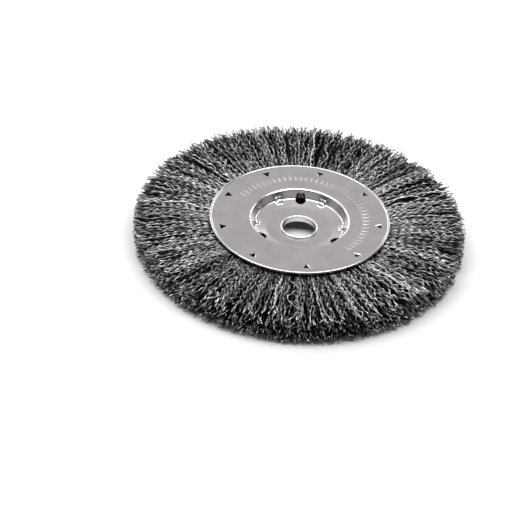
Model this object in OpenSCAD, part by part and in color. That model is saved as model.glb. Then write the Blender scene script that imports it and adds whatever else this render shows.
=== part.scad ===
// Crimped wire wheel brush, 6 inch, narrow face, two pressed steel side plates.
// Frame: origin at the middle of the arbor bore, +Z along the arbor, +Y through one drive hole.

/* [Wire fill] */
// Diameter over the trimmed wire tips
wheel_d = 152.4; // [140:0.2:160]
// Width of the brushing face at the tips
face_w = 14.4; // [14.2:0.1:16]
// Mean diameter of the ring that the wires are folded round
ring_d = 54; // [53:0.5:56]
// Thickness of that ring
ring_wire_d = 3; // [2:0.1:3]

/* [Side plates] */
// Outer diameter of a side plate
plate_d = 85; // [84:0.5:90]
// Distance over the flat faces of the two plates
plate_span = 13; // [12.6:0.1:13.2]
// Thickness of the plate sheet
sheet_t = 0.9; // [0.8:0.05:1]
// Radius of the rolled bead round the plate's rim
rim_bead_r = 0.65; // [0.5:0.05:0.7]
// Radius where the flat of the plate starts to turn down into the well
well_top_r = 24.1; // [24:0.1:24.4]
// Steepness of the well's wall above the horizontal, in degrees
well_wall_angle = 62; // [60:1:64]
// Outside radius of the bend at the top of the well
well_top_bend = 1.6; // [1.4:0.1:1.8]
// Inside radius of the bend at the foot of the well
well_foot_bend = 1.2; // [1:0.1:1.4]
// Radius of the flat seat in the middle of the well's floor
seat_r = 15; // [14:0.1:16]
// Angle at which the floor rises from the seat to the wall, in degrees
dish_angle = 14; // [12:1:15]

/* [Arbor and drive holes] */
// Arbor bore, five eighths of an inch
bore_d = 15.875; // [12.7:0.005:15.9]
// Wall of the arbor bushing
bushing_wall = 0.55; // [0.5:0.05:0.6]
// Thickness of the curled lip at each end of the bushing
lip_d = 0.75; // [0.7:0.05:0.8]
// Diameter of each drive pin hole
drive_hole_d = 5.1; // [4:0.1:5.4]
// Circle that the drive pin holes lie on
drive_pcd = 40.3; // [40:0.1:41]
// Number of drive pin holes
drive_holes = 3; // [2:1:3]

/* [Prongs and pressings] */
// Number of prongs pierced inward from each plate
prongs = 9; // [6:1:9]
// Radius of the middle of each prong window
prong_r = 36.75; // [36:0.05:37.5]
// Width of a prong window at its outer edge
prong_w = 4; // [3:0.1:4.4]
// Length of a prong window along the radius
prong_l = 3.4; // [3:0.1:3.8]
// Angle of the first prong from +X on the front plate, in degrees
prong_start = 37; // [35:0.5:38]
// Number of stiffening gussets in the foot of the well
gussets = 6; // [3:1:6]
// Width of each gusset
gusset_w = 3; // [2:0.1:4]
// Height of each raised dash on the plate's face
dash_h = 0.25; // [0.1:0.05:0.3]
// Length of each dash along the radius
dash_l = 3.2; // [2:0.1:3.6]
// Width of each dash
dash_w = 0.8; // [0.5:0.05:1]
// Number of dashes in the row
dashes = 40; // [10:1:50]

/* [Hidden] */
$fn = 96;
plate_z = plate_span / 2;
plate_r = plate_d / 2;
bore_r = bore_d / 2;
bushing_r = bore_r + bushing_wall;
lip_z = sheet_t + lip_d / 2;
// The plate's bore edge is eased under the lip, so the floor outside it is flat
ease = 0.4;
wall_run = sin(well_wall_angle);
wall_rise = cos(well_wall_angle);
dish_run = sin(dish_angle);
dish_rise = cos(dish_angle);
// Centre of the bend at the top of the well, and where its wall begins
top_c = [well_top_r, plate_z - well_top_bend];
wall_top = top_c + well_top_bend * [-wall_run, wall_rise];
// The foot bend touches both the dished floor and the wall
dish_reach = well_foot_bend - dish_run * seat_r + dish_rise * sheet_t;
wall_reach = well_foot_bend - wall_run * wall_top[0] + wall_rise * wall_top[1];
turn = sin(well_wall_angle - dish_angle);
foot_c = [
    (dish_reach * wall_rise - wall_reach * dish_rise) / turn,
    (dish_reach * wall_run - wall_reach * dish_run) / turn
];
seat_under_r = seat_r + sheet_t * tan(dish_angle / 2);
rim_c = [plate_r - rim_bead_r, plate_z - sheet_t + rim_bead_r];
// A prong is hinged on the side of its window that leads anticlockwise
hinge_angle = atan2(prong_w / 2, prong_l);
hinge_l = norm([prong_w / 2, prong_l]);
prong_drop = prong_w * prong_l / hinge_l;
prong_tip_x = (prong_l ^ 2 - (prong_w / 2) ^ 2) / hinge_l;
weld = 0.3;
// The prong stops short of both ends of its hinge line, and its bend stands into the window
hinge_end = 0.3;
hinge_in = 0.2;
prong_gap = 0.1;
// The front prongs and the turned-over back prongs share the fill out between them
prong_step = 360 / prongs;
back_start = 180 - prong_start - prong_step * floor((180 - prong_start) / prong_step);
// The bundles part this many degrees before a front prong and after a back one
parting = 1.5;
// The fill
fill_in_r = well_top_r + 0.6;
fill_r = wheel_d / 2;
fill_z = plate_z - sheet_t;
face_z = face_w / 2;
tip_round = 1.2;
ring_gap = 0.05;
rim_gap = 0.1;
// Part way out, the fill has already opened by this share of its flare
flare_mid_r = 56;
flare_mid = 0.65;
// The row of dashes
dash_r = 31.1;
dash_from = -42;
dash_to = 150;
dash_step = (dash_to - dash_from) / (dashes - 1);
steel_grey = [0.68, 0.67, 0.66];
bright_steel = [0.82, 0.82, 0.82];
wire_grey = [0.33, 0.33, 0.34];

// One bundle of wires lies between each two neighbouring prongs
bundles = 2 * prongs;
function bundle_name(i) = str("wire_bundle_", i < 10 ? "0" : "", i);

// Points along an arc, both ends included
function arc(c, r, from, to, steps = 6) =
    [for (i = [0:steps]) let (a = from + (to - from) * i / steps) c + r * [cos(a), sin(a)]];

// Half section of a plate: the face side from rim to bore, then the hidden side back again
module plate_section() {
    lean = 90 + well_wall_angle;
    polygon(concat(
        [[rim_c[0], plate_z]],
        arc(top_c, well_top_bend, 90, lean),
        arc(foot_c, well_foot_bend, lean - 180, dish_angle - 90),
        [[seat_r, sheet_t]],
        [[bushing_r + ease, sheet_t], [bushing_r, sheet_t - ease / 2], [bushing_r, 0]],
        [[seat_under_r, 0]],
        arc(foot_c, well_foot_bend + sheet_t, dish_angle - 90, lean - 180),
        arc(top_c, well_top_bend - sheet_t, lean, 90),
        [[rim_c[0], plate_z - sheet_t]]
    ));
    translate(rim_c)
        circle(rim_bead_r);
}

module prong_window() {
    in_x = prong_r - prong_l / 2;
    out_x = prong_r + prong_l / 2;
    translate([0, 0, plate_z - 2 * sheet_t])
        linear_extrude(3 * sheet_t)
            polygon([[in_x, 0], [out_x, -prong_w / 2], [out_x, prong_w / 2]]);
}

// The sheet of one window, turned straight down; grow leaves room round it
module prong(grow = 0) {
    translate([prong_r - prong_l / 2, 0, plate_z - sheet_t])
        rotate([0, 0, hinge_angle])
            translate([0, sheet_t - hinge_in + grow, 0])
                rotate([90, 0, 0])
                    linear_extrude(sheet_t + 2 * grow)
                        polygon([
                            [hinge_end - grow, weld],
                            [hinge_end - grow, 0],
                            [prong_tip_x - grow, -prong_drop - grow],
                            [prong_tip_x + grow, -prong_drop - grow],
                            [hinge_l - hinge_end + grow, 0],
                            [hinge_l - hinge_end + grow, weld]
                        ]);
}

// A small pressed rib that ties the foot of the well to its wall
module gusset() {
    toe_back = 0.9;
    climb = 1.9;
    toe = foot_c + well_foot_bend * [dish_run, -dish_rise] - toe_back * [dish_rise, dish_run];
    top = foot_c + well_foot_bend * [wall_run, -wall_rise] + climb * [wall_rise, wall_run];
    middle = (well_wall_angle + dish_angle) / 2;
    heel = foot_c + (well_foot_bend + sheet_t / 2) * [sin(middle), -cos(middle)];
    rotate([90, 0, 0])
        linear_extrude(gusset_w, center = true)
            polygon([toe + weld * [dish_run, -dish_rise], toe, top, top + weld * [wall_run, -wall_rise], heel]);
}

module dash_row() {
    for (i = [0:dashes - 1])
        rotate([0, 0, dash_from + i * dash_step])
            translate([dash_r - dash_l / 2, -dash_w / 2, plate_z - weld])
                cube([dash_l, dash_w, dash_h + weld]);
}

module side_plate() {
    color(steel_grey)
        difference() {
            union() {
                difference() {
                    rotate_extrude()
                        plate_section();
                    for (i = [0:prongs - 1])
                        rotate([0, 0, prong_start + i * prong_step])
                            prong_window();
                }
                for (i = [0:prongs - 1])
                    rotate([0, 0, prong_start + i * prong_step])
                        prong();
                for (i = [0:gussets - 1])
                    rotate([0, 0, i * 360 / gussets])
                        gusset();
                dash_row();
            }
            for (i = [0:drive_holes - 1])
                rotate([0, 0, 90 + i * 360 / drive_holes])
                    translate([drive_pcd / 2, 0, -sheet_t])
                        cylinder(h = plate_z + 2 * sheet_t, d = drive_hole_d);
        }
}

module front_side_plate() {
    side_plate();
}

// The same pressing turned over about the Y axis, so the drive holes line up
module back_side_plate() {
    rotate([0, 180, 0])
        side_plate();
}

// A thin tube whose two ends are curled over the plates, which holds them together
module arbor_bushing() {
    color(bright_steel)
        rotate_extrude() {
            translate([bore_r, -lip_z])
                square([bushing_wall, 2 * lip_z]);
            for (side = [-1, 1])
                translate([bore_r + lip_d / 2 + 0.02, side * lip_z])
                    circle(d = lip_d);
        }
}

module retaining_ring() {
    color(steel_grey)
        rotate_extrude()
            translate([ring_d / 2, 0])
                circle(d = ring_wire_d);
}

// Half section of the fill: squeezed between the plates, opening out towards the tips,
// with room for the ring that the wires are folded round
module fill_section() {
    upper = [
        [fill_in_r, fill_z],
        [plate_r + rim_gap, fill_z],
        [flare_mid_r, fill_z + flare_mid * (face_z - fill_z)],
        [fill_r - tip_round, face_z],
        [fill_r, face_z - tip_round]
    ];
    lower = [for (i = [len(upper) - 1:-1:0]) [upper[i][0], -upper[i][1]]];
    difference() {
        polygon(concat(upper, lower));
        translate([ring_d / 2, 0])
            circle(d = ring_wire_d + 2 * ring_gap);
    }
}

// The wires between two neighbouring prongs, as one closed solid. The bundles are by turns narrow
// and wide, and both prongs beside a wide one stand in slots inside it.
module wire_bundle(i) {
    pair = floor((i - 1) / 2);
    narrow = i % 2 == 1;
    back_at = back_start + pair * prong_step;
    front_at = prong_start + pair * prong_step;
    from = narrow ? back_at + parting : front_at - parting;
    to = narrow ? front_at - parting : back_at + prong_step + parting;
    color(wire_grey)
        difference() {
            rotate([0, 0, from])
                rotate_extrude(angle = to - from)
                    fill_section();
            if (!narrow) {
                rotate([0, 0, front_at])
                    prong(prong_gap);
                rotate([0, 180, 0])
                    rotate([0, 0, 180 - back_at - prong_step])
                        prong(prong_gap);
            }
        }
}

front_side_plate();
back_side_plate();
arbor_bushing();
retaining_ring();
for (i = [1:bundles])
    wire_bundle(i);
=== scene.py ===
# %% [markdown]
# # A crimped wire wheel brush
# A wire wheel is a ring of thousands of wavy steel wires, squeezed between two pressed
# steel side plates. The CAD model gives every size, and this script gives the looks.
# The plates are spun from a drawn outline, then pierced. The wires are one small wire,
# copied thousands of times along wavy paths.

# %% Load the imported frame
import math

import bpy
import numpy as np
from mathutils import Matrix, Vector


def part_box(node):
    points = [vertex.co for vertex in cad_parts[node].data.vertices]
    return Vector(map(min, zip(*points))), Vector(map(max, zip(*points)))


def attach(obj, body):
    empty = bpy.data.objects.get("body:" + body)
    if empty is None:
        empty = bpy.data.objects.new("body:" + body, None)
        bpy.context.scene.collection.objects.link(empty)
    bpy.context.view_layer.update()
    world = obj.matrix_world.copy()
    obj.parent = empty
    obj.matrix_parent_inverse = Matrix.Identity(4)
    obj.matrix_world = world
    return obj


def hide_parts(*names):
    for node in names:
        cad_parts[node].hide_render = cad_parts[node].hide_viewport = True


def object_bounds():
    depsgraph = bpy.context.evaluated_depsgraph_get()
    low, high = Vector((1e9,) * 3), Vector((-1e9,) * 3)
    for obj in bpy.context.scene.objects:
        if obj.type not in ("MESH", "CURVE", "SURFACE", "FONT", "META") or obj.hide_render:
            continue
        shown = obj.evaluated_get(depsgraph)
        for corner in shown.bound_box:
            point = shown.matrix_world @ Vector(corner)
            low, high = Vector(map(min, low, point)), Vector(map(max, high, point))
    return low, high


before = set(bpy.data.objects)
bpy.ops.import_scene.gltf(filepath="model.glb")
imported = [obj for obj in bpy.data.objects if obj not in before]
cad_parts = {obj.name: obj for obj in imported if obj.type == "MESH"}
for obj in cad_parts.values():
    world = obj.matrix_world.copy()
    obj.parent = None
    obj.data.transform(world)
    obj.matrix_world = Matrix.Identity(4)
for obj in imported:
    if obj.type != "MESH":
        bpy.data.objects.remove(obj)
cad_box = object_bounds()
MM = 0.001


def box_in_mm(box, digits=2):
    return [[round(value / MM, digits) for value in corner] for corner in box]


print("CAD nodes:", len(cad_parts), "box in mm:", box_in_mm(cad_box, 1))

# %% [markdown]
# ## Sizes
# The sizes come from the CAD nodes where a box can give them. The rest repeat the CAD
# model's own values, in millimetres, so each new piece lands on the node it replaces.

# %% Sizes of the plates and the fill
PLATE_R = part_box("front_side_plate")[1][0] / MM
WHEEL_R = cad_box[1][0] / MM
FLOOR_Z = cad_box[0][2]
SHEET_T = 0.9
PLATE_Z = 6.5
WELL_TOP_R = 24.1
WELL_TOP_BEND = 1.6
WELL_FOOT_BEND = 1.2
WALL_ANGLE, DISH_ANGLE = 62, 14
SEAT_R = 15
RIM_BEAD_R = 0.65
BORE_R = 7.9375
BUSHING_R = 8.4875
DRIVE_R, DRIVE_HOLE_R = 20.15, 2.55
PRONGS, PRONG_STEP, PRONG_START = 9, 40, 37
PRONG_R, PRONG_W, PRONG_L = 36.75, 4.0, 3.4
print("plate radius", round(PLATE_R, 2), "floor at", round(FLOOR_Z / MM, 2), "mm")

# %% [markdown]
# ## Drawing an outline and spinning it
# Pressed and turned parts are round, so half of their section is enough. A plane is
# merged down to one point, the point is extruded along the outline like a pencil, and
# Spin turns the outline into a closed ring. Merging doubles closes the seam.

# %% Outline and spin helpers
def start_clean():
    """Leaves edit mode and selects nothing."""
    if bpy.context.object and bpy.context.object.mode != "OBJECT":
        bpy.ops.object.mode_set(mode="OBJECT")
    bpy.ops.object.select_all(action="DESELECT")


def edit_edges(piece, wanted, mode="EDGE"):
    """Enters edit mode with some edges selected. wanted is asked about each edge's two ends."""
    bpy.ops.object.mode_set(mode="EDIT")
    bpy.ops.mesh.select_mode(type=mode)
    bpy.ops.mesh.select_all(action="DESELECT")
    bpy.ops.object.mode_set(mode="OBJECT")
    for edge in piece.data.edges:
        edge.select = wanted(*(piece.data.vertices[i].co for i in edge.vertices))
    bpy.ops.object.mode_set(mode="EDIT")


def arc(centre, radius, start, end, steps):
    """Points along an arc of the section, angles in degrees."""
    turns = np.radians(np.linspace(start, end, steps + 1))
    return [(centre[0] + radius * math.cos(t), centre[1] + radius * math.sin(t)) for t in turns]


def spun_piece(name, outline, steps):
    """A closed ring whose half section is the outline, given in mm as (radius, height)."""
    start_clean()
    bpy.ops.mesh.primitive_plane_add(size=MM, location=(0, 0, 0))
    piece = bpy.context.object
    piece.name = name
    bpy.ops.object.mode_set(mode="EDIT")
    bpy.ops.mesh.select_mode(type="VERT")
    bpy.ops.mesh.select_all(action="SELECT")
    bpy.ops.mesh.merge(type="CENTER")
    bpy.ops.transform.translate(value=(outline[0][0] * MM, 0, outline[0][1] * MM))
    for a, b in zip(outline, outline[1:] + outline[:1]):
        step = ((b[0] - a[0]) * MM, 0, (b[1] - a[1]) * MM)
        bpy.ops.mesh.extrude_region_move(TRANSFORM_OT_translate={"value": step})
    bpy.ops.mesh.select_all(action="SELECT")
    bpy.ops.mesh.remove_doubles(threshold=0.001 * MM)
    bpy.ops.mesh.spin(steps=steps, angle=2 * math.pi, center=(0, 0, 0), axis=(0, 0, 1))
    bpy.ops.mesh.select_all(action="SELECT")
    bpy.ops.mesh.remove_doubles(threshold=0.002 * MM)
    bpy.ops.mesh.normals_make_consistent(inside=False)
    bpy.ops.object.mode_set(mode="OBJECT")
    print(name, "has", len(piece.data.polygons), "faces")
    return piece


# %% [markdown]
# ## The side plate
# The real plate is one pressing of sheet steel about 0.9 mm thick. It has a flat face, a
# rolled bead round the rim and a sunken well. The well's floor is flat only where the
# machine's flange sits. From there it rises as a shallow dish to the steep wall. The soft
# bends matter most, because they carry the bright and dark lines of the metal.

# %% Half section of the plate
def bend_between(point_a, angle_a, point_b, angle_b, radius):
    """Centre of a bend that touches two straight runs from above, angles in degrees."""
    a, b = math.radians(angle_a), math.radians(angle_b)
    normals = np.array([[-math.sin(a), math.cos(a)], [-math.sin(b), math.cos(b)]])
    reach = [radius + normals[0] @ point_a, radius + normals[1] @ point_b]
    return tuple(np.linalg.solve(normals, reach))


def between(a, b, steps):
    """Points inside a straight run, without its ends."""
    return [tuple(np.array(a) + (np.array(b) - a) * k / steps) for k in range(1, steps)]


top_centre = (WELL_TOP_R, PLATE_Z - WELL_TOP_BEND)
wall_top = arc(top_centre, WELL_TOP_BEND, 90 + WALL_ANGLE, 90, 1)[0]
foot_centre = bend_between((SEAT_R, SHEET_T), DISH_ANGLE, wall_top, WALL_ANGLE, WELL_FOOT_BEND)
foot_bend = arc(foot_centre, WELL_FOOT_BEND, DISH_ANGLE - 90, WALL_ANGLE - 90, 10)
SEAT_BLEND = 8
half_dish = math.tan(math.radians(DISH_ANGLE / 2))
seat_centre = (SEAT_R - SEAT_BLEND * half_dish, SHEET_T + SEAT_BLEND)
seat_bend = arc(seat_centre, SEAT_BLEND, -90, DISH_ANGLE - 90, 5)
bead_centre = (PLATE_R - RIM_BEAD_R, PLATE_Z - SHEET_T + RIM_BEAD_R)
BORE_EASE, BORE_EASE_Z = 0.4, 0.2
# Rings of points on the flat face, close together where the dashes rise and fall
DASH_ROWS = [28.4, 29.1, 29.35, 29.6, 30.0, 30.5, 31.1, 31.7, 32.2, 32.6, 32.85, 33.1, 33.8]
FLAT_ROWS = [25.4, 26.8] + DASH_ROWS + [35.5, 37, 38.6, 40]
# A fine pressed line runs just inside the bead
PRESSED_LINE = [(40.9, PLATE_Z), (41.1, PLATE_Z - 0.03), (41.3, PLATE_Z + 0.04)]

face_side = (
    [(BUSHING_R, 0), (BUSHING_R, SHEET_T - BORE_EASE_Z), (BUSHING_R + BORE_EASE, SHEET_T)]
    + [(11.5, SHEET_T)]
    + seat_bend
    + between(seat_bend[-1], foot_bend[0], 8)
    + foot_bend
    + between(foot_bend[-1], wall_top, 6)
    + arc(top_centre, WELL_TOP_BEND, 90 + WALL_ANGLE, 90, 10)
    + [(r, PLATE_Z) for r in FLAT_ROWS]
    + PRESSED_LINE
    + arc(bead_centre, RIM_BEAD_R, 125, -90, 12)
)
hidden_side = (
    [(40.5, PLATE_Z - SHEET_T), (34, PLATE_Z - SHEET_T)]
    + arc(top_centre, WELL_TOP_BEND - SHEET_T, 90, 90 + WALL_ANGLE, 5)
    + arc(foot_centre, WELL_FOOT_BEND + SHEET_T, WALL_ANGLE - 90, DISH_ANGLE - 90, 8)
    + [(SEAT_R + SHEET_T * half_dish, 0), (12, 0)]
)
front_plate = spun_piece("front_plate", face_side + hidden_side, 720)

# %% [markdown]
# ## Pressed dashes and gussets
# The press leaves shallow marks: a row of plain raised dashes on the face, and six small
# ribs across the foot of the well. Each is a smooth push of the points that are already
# there, so the sheet stays in one piece and its edges stay soft, as pressed steel does.

# %% Press the dashes into the face
def soft_window(distance, half, edge):
    """1 inside half, 0 outside it, with a soft edge."""
    t = np.clip((half + edge / 2 - np.abs(distance)) / edge, 0, 1)
    return t * t * (3 - 2 * t)


def plate_points(plate):
    """Radius, angle in degrees and height of each point, in mm."""
    flat = np.empty(len(plate.data.vertices) * 3)
    plate.data.vertices.foreach_get("co", flat)
    x, y, z = flat.reshape(-1, 3).T / MM
    return np.hypot(x, y), np.degrees(np.arctan2(y, x)), z


def set_plate_points(plate, radius, angle, z):
    turn = np.radians(angle)
    flat = np.stack([radius * np.cos(turn), radius * np.sin(turn), z], axis=1) * MM
    plate.data.vertices.foreach_set("co", flat.ravel())
    plate.data.update()


DASH_R, DASH_L, DASH_W, DASH_H, DASH_EDGE = 31.1, 3.2, 0.8, 0.2, 0.4
DASHES, FIRST_DASH, LAST_DASH = 40, -42, 150
dash_angles = np.linspace(FIRST_DASH, LAST_DASH, DASHES)
radius, angle, z = plate_points(front_plate)
nearest = dash_angles[np.abs(angle[:, None] - dash_angles[None, :]).argmin(axis=1)]
across = np.radians(angle - nearest) * radius
push = soft_window(radius - DASH_R, DASH_L / 2, DASH_EDGE)
push = push * soft_window(across, DASH_W / 2, DASH_EDGE)
z = z + DASH_H * push * (z > PLATE_Z - SHEET_T / 2)
print("points raised for dashes:", int((push > 0.5).sum()))

# %% Press the gussets into the foot of the well
GUSSET_W, GUSSET_H, GUSSET_STEP = 3.0, 0.9, 60
GUSSET_REACH, GUSSET_FADE, GUSSET_EDGE = 1.5, 1.2, 0.8
middle = math.radians((WALL_ANGLE + DISH_ANGLE) / 2)
inward, upward = math.sin(middle), math.cos(middle)
corner = np.array(foot_centre) + WELL_FOOT_BEND * np.array([inward, -upward])
from_corner = np.hypot(radius - corner[0], z - corner[1])
across = np.radians((angle + GUSSET_STEP / 2) % GUSSET_STEP - GUSSET_STEP / 2) * radius
rib = GUSSET_H * soft_window(from_corner, GUSSET_REACH, GUSSET_FADE)
rib = rib * soft_window(across, GUSSET_W / 2, GUSSET_EDGE)
set_plate_points(front_plate, radius - rib * inward, angle, z + rib * upward)
print("points moved for gussets:", int((rib > 0.1).sum()))

# %% [markdown]
# ## Piercing the plate
# Nine small triangles are pierced near the rim, and three round drive holes at the foot
# of the well. One triangle and one drill are made, copied round the axis, joined to one
# cutter, and a Boolean takes them all out at once.

# %% Make the cutter
def copies_round(piece, angles):
    """Copies of a piece, each with its own mesh, turned about Z. The first piece is removed."""
    made = []
    for a in angles:
        start_clean()
        copy = piece.copy()
        copy.data = piece.data.copy()
        bpy.context.collection.objects.link(copy)
        copy.rotation_euler = (0, 0, math.radians(a))
        copy.select_set(True)
        bpy.context.view_layer.objects.active = copy
        bpy.ops.object.transform_apply(location=True, rotation=True, scale=True)
        made.append(copy)
    bpy.data.objects.remove(piece)
    return made


def join_all(pieces, name):
    """Joins the pieces into the first one."""
    start_clean()
    for p in pieces:
        p.select_set(True)
    bpy.context.view_layer.objects.active = pieces[0]
    bpy.ops.object.join()
    pieces[0].name = name
    return pieces[0]


prong_angles = [PRONG_START + PRONG_STEP * k for k in range(PRONGS)]
WINDOW_CORNER, WINDOW_DEPTH = 0.25, 3
start_clean()
bpy.ops.mesh.primitive_cylinder_add(
    vertices=3, radius=MM, depth=WINDOW_DEPTH * MM, rotation=(0, 0, math.pi / 2)
)
window = bpy.context.object
bpy.ops.object.transform_apply(location=True, rotation=True, scale=True)
# The primitive has its apex at -X, 1 mm from the middle, and its base 0.5 mm out, 1.73 mm wide
window.scale = (PRONG_L / 1.5, PRONG_W / math.sqrt(3), 1)
window.location = ((PRONG_R + PRONG_L / 6) * MM, 0, (PLATE_Z - 0.2) * MM)
bpy.ops.object.transform_apply(location=True, rotation=True, scale=True)
# Vertex mode takes in every edge between the chosen ends, so the whole cutter is rounded
edit_edges(window, lambda a, b: abs(a.z - b.z) > MM, mode="VERT")
bpy.ops.mesh.bevel(offset=WINDOW_CORNER * MM, segments=3)
bpy.ops.object.mode_set(mode="OBJECT")

start_clean()
bpy.ops.mesh.primitive_cylinder_add(
    vertices=64, radius=DRIVE_HOLE_R * MM, depth=12 * MM,
    location=(0, DRIVE_R * MM, PLATE_Z / 2 * MM),
)
drill = bpy.context.object
bpy.ops.object.transform_apply(location=True, rotation=True, scale=True)
windows, drills = copies_round(window, prong_angles), copies_round(drill, [0, 120, 240])
cutter = join_all(windows + drills, "cutter")

# %% Cut the windows and the drive holes
def cut(piece, tool):
    start_clean()
    bpy.context.view_layer.objects.active = piece
    modifier = piece.modifiers.new("cut", "BOOLEAN")
    modifier.operation = "DIFFERENCE"
    modifier.solver = "EXACT"
    modifier.object = tool
    bpy.ops.object.modifier_apply(modifier=modifier.name)
    bpy.data.objects.remove(tool)


cut(front_plate, cutter)
print("pierced plate has", len(front_plate.data.polygons), "faces")

# %% [markdown]
# ## The prongs
# The metal of each window isn't cut away. It stays joined along one side and is bent down
# into the wires, where it locks them. The bend is what catches the light, so the tab is a
# strip that Spin rolls over the edge, then a tapering run straight down.

# %% One bent prong
hinge_turn = math.atan2(PRONG_W / 2, PRONG_L)
hinge_l = math.hypot(PRONG_W / 2, PRONG_L)
drop = PRONG_W * PRONG_L / hinge_l
ROLL_R, ROLL_ANGLE, TAB_T, TUCK = 0.8, 86, 0.6, 0.1
# The tab is a little narrower than its window, and it starts just below the face
TAB_GAP, TAB_DROP = 0.7, 0.02
start_clean()
bpy.ops.mesh.primitive_grid_add(x_subdivisions=6, y_subdivisions=1, size=1)
tab = bpy.context.object
tab.scale = ((hinge_l - TAB_GAP) * MM, 0.5 * MM, 1)
tab.location = (hinge_l / 2 * MM, (TUCK + 0.25) * MM, -TAB_DROP * MM)
bpy.ops.object.transform_apply(location=True, rotation=True, scale=True)
edit_edges(tab, lambda a, b: max(a.y, b.y) < (TUCK + 0.01) * MM)
bpy.ops.mesh.spin(
    steps=6, angle=math.radians(ROLL_ANGLE), dupli=False,
    center=(0, TUCK * MM, (-TAB_DROP - ROLL_R) * MM), axis=(-1, 0, 0),
)
tab_step = (0, 0, -(drop - ROLL_R) / 3 * MM)
for shrink in (0.65, 0.5, 0.3):
    bpy.ops.mesh.extrude_region_move(TRANSFORM_OT_translate={"value": tab_step})
    bpy.ops.transform.resize(value=(shrink, 1, 1))
bpy.ops.object.mode_set(mode="OBJECT")
thicken = tab.modifiers.new("sheet", "SOLIDIFY")
thicken.thickness = TAB_T * MM
thicken.offset = -1
bpy.ops.object.modifier_apply(modifier=thicken.name)
print("tab box in mm", box_in_mm((tab.bound_box[0], tab.bound_box[6])))

# %% Put the prongs in the plate and turn a copy over for the back
tab.rotation_euler = (0, 0, hinge_turn)
tab.location = ((PRONG_R - PRONG_L / 2) * MM, 0, PLATE_Z * MM)
start_clean()
tab.select_set(True)
bpy.context.view_layer.objects.active = tab
bpy.ops.object.transform_apply(location=True, rotation=True, scale=True)
front_plate = join_all([front_plate] + copies_round(tab, prong_angles), "front_plate_pressing")
bpy.ops.object.shade_smooth_by_angle(angle=math.radians(34))
back_plate = front_plate.copy()
back_plate.data = front_plate.data.copy()
back_plate.name = "back_plate_pressing"
bpy.context.collection.objects.link(back_plate)
start_clean()
back_plate.select_set(True)
bpy.context.view_layer.objects.active = back_plate
back_plate.rotation_euler = (0, math.pi, 0)
bpy.ops.object.transform_apply(location=True, rotation=True, scale=True)
print("plates done,", len(front_plate.data.polygons), "faces each")

# %% [markdown]
# ## The arbor bushing
# A thin tube holds the two plates together. Its ends are curled outward in a press, so
# each end shows a bright round lip with a dark line under it. It is one spun outline.

# %% Spin the bushing
LIP_R = 0.395
lip_centre = (BORE_R + LIP_R, SHEET_T + 0.375)
upper = (
    [(BUSHING_R, 0), (BUSHING_R, SHEET_T - 0.02)]
    + arc(lip_centre, LIP_R, -58, 180, 18)
    + [(BORE_R, SHEET_T - 0.2)]
)
lower = [(r, -z) for r, z in reversed(upper)][1:-1]
bushing = spun_piece("curled_bushing", upper + [(BORE_R, 0)] + lower, 180)
start_clean()
bushing.select_set(True)
bpy.context.view_layer.objects.active = bushing
bpy.ops.object.shade_smooth_by_angle(angle=math.radians(50))

# %% [markdown]
# ## The crimped wires
# Each wire is folded round a hidden ring and runs out between the plates to the trimmed
# tips. It is crimped into an even wave. Each wire's wave lies in a plane of its own, so
# the wires prop each other apart. Only near the tips do neighbours lean together in
# tufts, and that makes the trimmed edge ragged. One three-sided wire of twenty steps is
# modelled. Arrays then give a copy of it to each path, because moving 8,000 wires by
# operators would take hours.
#
# Little light gets down between the wires, so each point also keeps a painted shade that
# darkens it with its depth in the fill. The wire's colour uses it further down.

# %% One plain wire to copy
# Real wire is about 0.3 mm thick, too fine to show in the render. It is drawn twice as thick
WIRE_R = 0.31
STEPS = 20
start_clean()
bpy.ops.mesh.primitive_cylinder_add(
    vertices=3, radius=WIRE_R * MM, depth=1, end_fill_type="NGON"
)
wire = bpy.context.object
edit_edges(wire, lambda a, b: abs(a.z - b.z) > 0.5)
bpy.ops.mesh.subdivide(number_cuts=STEPS - 1)
bpy.ops.object.mode_set(mode="OBJECT")
wire_points = np.array([v.co for v in wire.data.vertices])
wire_station = np.rint((wire_points[:, 2] + 0.5) * STEPS).astype(int)
wire_faces = [list(f.vertices) for f in wire.data.polygons]
bpy.data.objects.remove(wire)
print("one wire has", len(wire_points), "points and", len(wire_faces), "faces")

# %% Wavy paths for one bundle
RIM_Z = PLATE_Z - SHEET_T - 0.1
TIP_Z = 6.85
CRIMP_H = 0.55
TUFT = 9
FADE_DEPTH = 1.7
# Radii along a wire: where it leaves the ring, the throat between the plates, the plates' rim
FOLD_R, THROAT_R, FREE_R = 28.6, 35.0, 41.0
FOLD_Z, FOLD_SPREAD = 1.9, 0.4
FIRST_CREST_R = (39.0, 41.2)
SPREAD_FROM_R, SPREAD = 43, 0.12
END_GAP = 0.3
TIP_INSET, TIP_MOST, TIP_LEAST_R = 1.2, 0.4, 70
GOLDEN = 0.618034


def grown(radius, start, length):
    """0 up to the start radius, then a steady climb to 1 over the length."""
    return np.clip((radius - start) / length, 0, 1)


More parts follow.
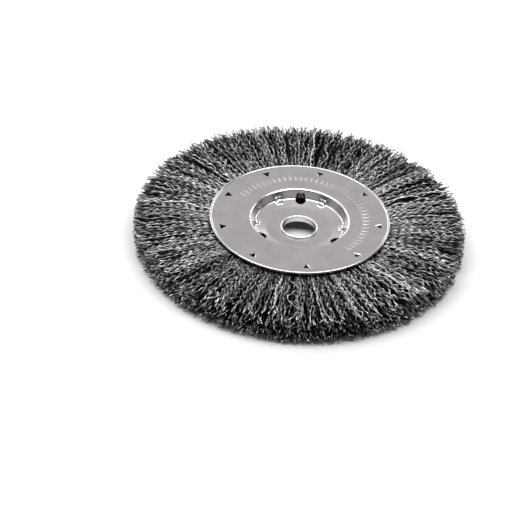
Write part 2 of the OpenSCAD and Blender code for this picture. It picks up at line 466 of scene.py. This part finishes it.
def wire_paths(start, end, count, seed):
    """Points of each wire's middle line in mm, as (wire, station, xyz), and their painted depth
    shades.
    """
    rng = np.random.default_rng(seed)
    tufts = round(count / TUFT)
    tuft = np.repeat(np.arange(tufts), TUFT)
    n = len(tuft)

    # Even steps round the wheel and golden-ratio steps in height fill it without clumps
    along = (np.arange(n) + rng.random(n)) / n
    turn = (start + END_GAP + (end - start - 2 * END_GAP) * along)[:, None]
    level = (((np.arange(n) * GOLDEN + rng.normal(0, 0.08, n)) % 1) * 2 - 1)[:, None]
    plane = rng.uniform(0.2 * math.pi, 0.8 * math.pi, (n, 1))
    plane = plane + math.pi * rng.integers(0, 2, (n, 1))
    height = np.clip(rng.normal(CRIMP_H, 0.14, (n, 1)), 0.3, 0.95)
    lean = (rng.normal(0, 1.5, tufts)[tuft] + rng.normal(0, 0.9, n))[:, None]
    weave_w = rng.normal(0, 0.75, (n, 1))
    weave_z = np.clip(rng.normal(0, 0.4, (n, 1)), -0.8, 0.8)
    weave_l = rng.uniform(9, 18, (n, 1))
    weave_at = rng.uniform(0, 2 * math.pi, (n, 1))
    ragged = rng.normal(0, 1.5, tufts)[tuft]
    tip = (WHEEL_R - TIP_INSET + ragged + rng.normal(0, 1.0, n))[:, None]
    tip = np.clip(tip, TIP_LEAST_R, WHEEL_R + TIP_MOST)

    # A station falls on each crest and trough, so a few steps draw the whole wave
    crest = np.arange(STEPS - 1)
    first = rng.uniform(*FIRST_CREST_R, (n, 1))
    pitch = (tip - first) / (crest[-1] + 1)
    radius = np.empty((n, STEPS + 1))
    radius[:, :2] = FOLD_R, THROAT_R
    radius[:, 2:] = first + pitch * (crest + 0.6) + rng.normal(0, 0.14, (n, STEPS - 1))
    radius[:, -1:] = tip + rng.uniform(0.4, 1.7, (n, 1))
    swing = np.concatenate([[0, 0], (-1.0) ** crest])
    wave = height * swing * grown(radius, 36, 6) * rng.uniform(0.75, 1.15, radius.shape)
    weave = np.sin(2 * math.pi * (radius - FREE_R) / weave_l + weave_at) * grown(radius, 38, 8)
    share = np.clip((radius - FREE_R) / (WHEEL_R - FREE_R), 0, None)
    side = wave * np.cos(plane) + lean * share**3 + weave_w * weave

    # The wires climb from the ring to fill the space under the plates, and spread beyond them
    free = grown(radius, FOLD_R, FREE_R - FOLD_R)
    spread = np.clip(radius - SPREAD_FROM_R, 0, None) * SPREAD
    roof = np.clip(RIM_Z - WIRE_R + spread, 0, TIP_Z)
    hill = wave * np.sin(plane) + weave_z * weave
    room = np.clip(roof - height * np.abs(np.sin(plane)) - np.abs(weave_z), 0.5, None)
    folded = np.sign(level) * FOLD_Z + level * FOLD_SPREAD
    z = folded * (1 - free) + level * room * free + hill * free
    z = np.clip(z, -roof, roof)
    angle = np.radians(turn) + side / radius
    points = np.stack([radius * np.cos(angle), radius * np.sin(angle), z], axis=2)

    # Painted shade: a point is as dark as it is deep below the faces or the rim, whichever is
    # nearer
    hidden = rng.uniform(0.1, FADE_DEPTH, (n, 1))
    depth = np.minimum(roof - np.abs(z), np.clip(WHEEL_R - radius, 0, None) + hidden)
    depth = np.clip(depth / FADE_DEPTH, 0, 1)
    return points, rng.uniform(0.7, 1, (n, 1)) * (1 - depth) ** 2


# %% Sweep the plain wire along every path
def wire_mesh(name, paths, shade, twist):
    """One mesh of all the wires: the plain wire's rings are set square to each path."""
    n = len(paths)
    along = np.gradient(paths, axis=1)
    along /= np.linalg.norm(along, axis=2, keepdims=True)
    across = np.cross(along, np.array([0.0, 0.0, 1.0]))
    across /= np.linalg.norm(across, axis=2, keepdims=True)
    over = np.cross(across, along)
    c, s = np.cos(twist)[:, None, None], np.sin(twist)[:, None, None]
    across, over = across * c + over * s, over * c - across * s
    corner = wire_points / MM
    points = (
        paths[:, wire_station]
        + across[:, wire_station] * corner[None, :, 0:1]
        + over[:, wire_station] * corner[None, :, 1:2]
    )
    sizes = np.array([len(f) for f in wire_faces])
    loops = np.concatenate([np.array(f) for f in wire_faces])
    all_loops = (loops[None, :] + np.arange(n)[:, None] * len(corner)).ravel()
    all_sizes = np.tile(sizes, n)
    mesh = bpy.data.meshes.new(name)
    mesh.vertices.add(n * len(corner))
    mesh.vertices.foreach_set("co", (points * MM).ravel())
    mesh.loops.add(len(all_loops))
    mesh.loops.foreach_set("vertex_index", all_loops)
    mesh.polygons.add(len(all_sizes))
    starts = np.concatenate([[0], np.cumsum(all_sizes)[:-1]])
    mesh.polygons.foreach_set("loop_start", starts)
    mesh.polygons.foreach_set("loop_total", all_sizes)
    mesh.update(calc_edges=True)
    mesh.validate()
    # Each point keeps its painted depth shade, which the wire's colour reads
    value = mesh.attributes.new("painted_depth_shade", "FLOAT", "POINT")
    value.data.foreach_set("value", shade[:, wire_station].ravel().astype(np.float32))
    piece = bpy.data.objects.new(name, mesh)
    bpy.context.collection.objects.link(piece)
    return piece


PER_DEGREE = 23
BACK_PRONG_START, PARTING = 23, 1.5
wires = []
for k in range(PRONGS):
    first_end = BACK_PRONG_START + PRONG_STEP * k + PARTING
    second_end = PRONG_START + PRONG_STEP * k - PARTING
    for i, start, end in (
        (2 * k + 1, first_end, second_end),
        (2 * k + 2, second_end, first_end + PRONG_STEP),
    ):
        paths, shade = wire_paths(start, end, round((end - start) * PER_DEGREE), seed=100 + i)
        twist = np.random.default_rng(500 + i).uniform(0, 2 * math.pi, len(paths))
        wires.append(wire_mesh(f"wires_{i:02d}", paths, shade, twist))
print("wires:", sum(len(w.data.vertices) for w in wires) // len(wire_points))
print("faces in the largest bundle:", max(len(w.data.polygons) for w in wires))
start_clean()
for w in wires:
    w.select_set(True)
bpy.context.view_layer.objects.active = wires[0]
bpy.ops.object.shade_smooth()

# %% [markdown]
# ## Metal finishes
# All of it is bare or plated steel, so every material is fully metallic and keeps the default
# IOR. What tells them apart is roughness, the fine pattern left by the way each part was made,
# and, on the wires, a painted shade for how little light gets in between them. Pattern sizes
# are in mm.

# %% Material helpers
def linear(hex_colour):
    """An sRGB hex colour as linear RGBA."""
    parts = [int(hex_colour[i : i + 2], 16) / 255 for i in (1, 3, 5)]
    return [p / 12.92 if p <= 0.04045 else ((p + 0.055) / 1.055) ** 2.4 for p in parts] + [1]


def feed(material, node, inputs):
    """Gives each input of a node a plain value or the socket that feeds it."""
    for key, value in inputs.items():
        if isinstance(value, bpy.types.NodeSocket):
            material.node_tree.links.new(value, node.inputs[key])
        else:
            node.inputs[key].default_value = value


def add_node(material, kind, inputs, **settings):
    """Adds one shader node and feeds it."""
    node = material.node_tree.nodes.new(kind)
    for key, value in settings.items():
        setattr(node, key, value)
    feed(material, node, inputs)
    return node


def tint(material, factor, low, high):
    """A colour that goes from one hex colour to the other as the factor goes from 0 to 1."""
    inputs = {0: factor, 6: linear(low), 7: linear(high)}
    return add_node(material, "ShaderNodeMix", inputs, data_type="RGBA").outputs[2]


def noise(material, where, size, **inputs):
    """A noise pattern whose blotches are about size mm across."""
    inputs = {key.capitalize(): value for key, value in inputs.items()}
    inputs.update({"Vector": where, "Scale": 1 / (size * MM)})
    return add_node(material, "ShaderNodeTexNoise", inputs).outputs["Fac"]


def drawn_out(material, where, *sizes):
    """Noise that is stretched to a size in mm along each axis."""
    scale = tuple(1 / (size * MM) for size in sizes)
    stretch = add_node(material, "ShaderNodeMapping", {"Vector": where, "Scale": scale})
    inputs = {"Vector": stretch.outputs[0], "Scale": 1.0, "Detail": 2.0}
    return add_node(material, "ShaderNodeTexNoise", inputs).outputs["Fac"]


def span(material, value, low, high, start=0.0, end=1.0):
    """Maps the value's range, start to end, onto low to high."""
    inputs = {"Value": value, "From Min": start, "From Max": end, "To Min": low, "To Max": high}
    return add_node(material, "ShaderNodeMapRange", inputs).outputs[0]


def new_material(name):
    """A material with one Principled shader, as (material, shader, position)."""
    material = bpy.data.materials.new(name)
    material.use_nodes = True
    where = add_node(material, "ShaderNodeTexCoord", {}).outputs["Object"]
    return material, material.node_tree.nodes["Principled BSDF"], where


def wear(material, *pieces):
    for p in pieces:
        p.data.materials.clear()
        p.data.materials.append(material)


# %% Zinc-plated pressed steel
plated, shader, where = new_material("zinc_plated_pressed_steel")
cloud = noise(plated, where, 9, detail=3.0, roughness=0.55)
grain = noise(plated, where, 0.7, detail=2.0, roughness=0.6)
rolling = drawn_out(plated, where, 7, 0.35, 2)
relief = {"Height": rolling, "Strength": 0.12, "Distance": 0.02 * MM}
feed(plated, shader, {
    "Base Color": tint(plated, span(plated, cloud, 0.0, 1.0, 0.35, 0.65), "#B4AFB0", "#BCB7B8"),
    "Metallic": 1,
    "Roughness": span(plated, grain, 0.2, 0.26, 0.3, 0.7),
    "Normal": add_node(plated, "ShaderNodeBump", relief).outputs[0],
})
wear(plated, front_plate, back_plate)

# %% Bright curled tube
bright, shader, where = new_material("bright_curled_steel_tube")
lines = drawn_out(bright, where, 3, 3, 0.12)
feed(bright, shader, {
    "Base Color": tint(bright, lines, "#D2D1D0", "#E4E3E2"),
    "Metallic": 1,
    "Roughness": span(bright, lines, 0.16, 0.3),
})
wear(bright, bushing)

# %% Crimped wire
tempered, shader, where = new_material("oil_tempered_wire_painted_shade")
# The wire's colour runs from near black to bright with the painted depth shade on each point,
# and small marks vary its tone
kept = add_node(tempered, "ShaderNodeAttribute", {}, attribute_name="painted_depth_shade")
shade = kept.outputs["Fac"]
marks = span(tempered, noise(tempered, where, 1.6, detail=2.0), 0.7, 1.2)
marked = add_node(tempered, "ShaderNodeMath", {0: shade, 1: marks}, operation="MULTIPLY")
feed(tempered, shader, {
    "Base Color": tint(tempered, marked.outputs[0], "#121213", "#EEEEF0"),
    "Metallic": 1,
    "Roughness": span(tempered, shade, 0.4, 0.3),
})
wear(tempered, *wires)

# %% Plain drawn ring wire
drawn, shader, where = new_material("plain_drawn_ring_wire")
streaks = noise(drawn, where, 1.2, detail=3.0)
feed(drawn, shader, {
    "Base Color": tint(drawn, streaks, "#87868A", "#B4B3B4"),
    "Metallic": 1,
    "Roughness": 0.38,
})
wear(drawn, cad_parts["retaining_ring"])

# %% [markdown]
# ## Tie the pieces to the CAD model
# Nothing on a wheel brush moves by itself, so every piece rides on the one body. Each new piece
# hides the CAD node it stands for.

# %% Ride and replace
for piece, node, slot in (
    (front_plate, "front_side_plate", "plate_steel"),
    (back_plate, "back_side_plate", "plate_steel"),
    (bushing, "arbor_bushing", "bushing_steel"),
):
    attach(piece, "root")
    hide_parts(node)
for i, piece in enumerate(wires, start=1):
    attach(piece, "root")
    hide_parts(f"wire_bundle_{i:02d}")
print("pieces:", 3 + len(wires))

# %% [markdown]
# ## Floor, light and camera
# The brush lies flat on a pale grey floor, which the lights bring up to white. The flat
# plate mirrors the broad card behind the brush. The overhead soft box gives the bright
# lines in the bends. Two low boxes behind the brush and one at the left bring out the
# wires, weak cards lift the near edge and the sides, and the world is a faint grey.

# %% Floor
start_clean()
bpy.ops.mesh.primitive_plane_add(size=4, location=(0, 0, FLOOR_Z))
floor = bpy.context.object
floor.name = "floor"
bpy.ops.object.transform_apply(location=True, rotation=True, scale=True)
paper, shader, where = new_material("matt_white_paper")
feed(paper, shader, {
    "Base Color": tint(paper, noise(paper, where, 30), "#B6B6B6", "#BABABA"),
    "Roughness": 0.9,
    "Specular IOR Level": 0.1,
})
wear(paper, floor)

# %% Lights
def soft_box(name, size, power, place):
    """A rectangular light aimed at the middle of the wheel. Size and place in m, power in W."""
    light = bpy.data.lights.new(name, "AREA")
    light.shape = "RECTANGLE"
    light.size, light.size_y = size
    light.energy = power
    lamp = bpy.data.objects.new(name, light)
    bpy.context.collection.objects.link(lamp)
    lamp.location = place
    aim = Vector((0, 0, 0)) - Vector(place)
    lamp.rotation_euler = aim.to_track_quat("-Z", "Y").to_euler()


soft_box("back_card", (3.2, 1.9), 13, (0.0, 1.0, 0.9))
soft_box("overhead", (2.2, 0.8), 40, (0.0, -0.08, 1.2))
soft_box("left_key", (1.2, 1.2), 5, (-0.95, 0.35, 0.85))
soft_box("back_left", (1.4, 0.6), 9, (-0.95, 1.15, 0.38))
soft_box("back_right", (1.4, 0.6), 8, (0.95, 1.15, 0.38))
soft_box("front_card", (2.4, 0.7), 2.5, (0.0, -1.35, 0.45))
soft_box("left_card", (0.6, 1.6), 1.2, (-1.3, -0.2, 0.3))
soft_box("right_card", (0.6, 1.6), 1.2, (1.3, -0.2, 0.3))
world = bpy.data.worlds.new("studio")
bpy.context.scene.world = world
world.use_nodes = True
background = world.node_tree.nodes["Background"]
background.inputs["Color"].default_value = (0.1, 0.1, 0.102, 1)
background.inputs["Strength"].default_value = 1.0
bpy.context.scene.view_settings.view_transform = "Standard"

# %% Camera
ELEVATION, ROLL = math.radians(37.47), math.radians(4.03)
AIM = (-16.74, -35.33, PLATE_Z)
DISTANCE = 1145.4
LENS, SENSOR_W = 172.4, 36
camera_data = bpy.data.cameras.new("camera")
camera_data.lens = LENS
camera_data.sensor_width = SENSOR_W
camera = bpy.data.objects.new("camera", camera_data)
bpy.context.collection.objects.link(camera)
looking = Matrix.Rotation(math.pi / 2 - ELEVATION, 4, "X") @ Matrix.Rotation(ROLL, 4, "Z")
back = Vector((0, -math.cos(ELEVATION), math.sin(ELEVATION))) * (DISTANCE * MM)
camera.matrix_world = Matrix.Translation(Vector(AIM) * MM + back) @ looking
bpy.context.scene.camera = camera

# %% Finish
bpy.context.view_layer.update()
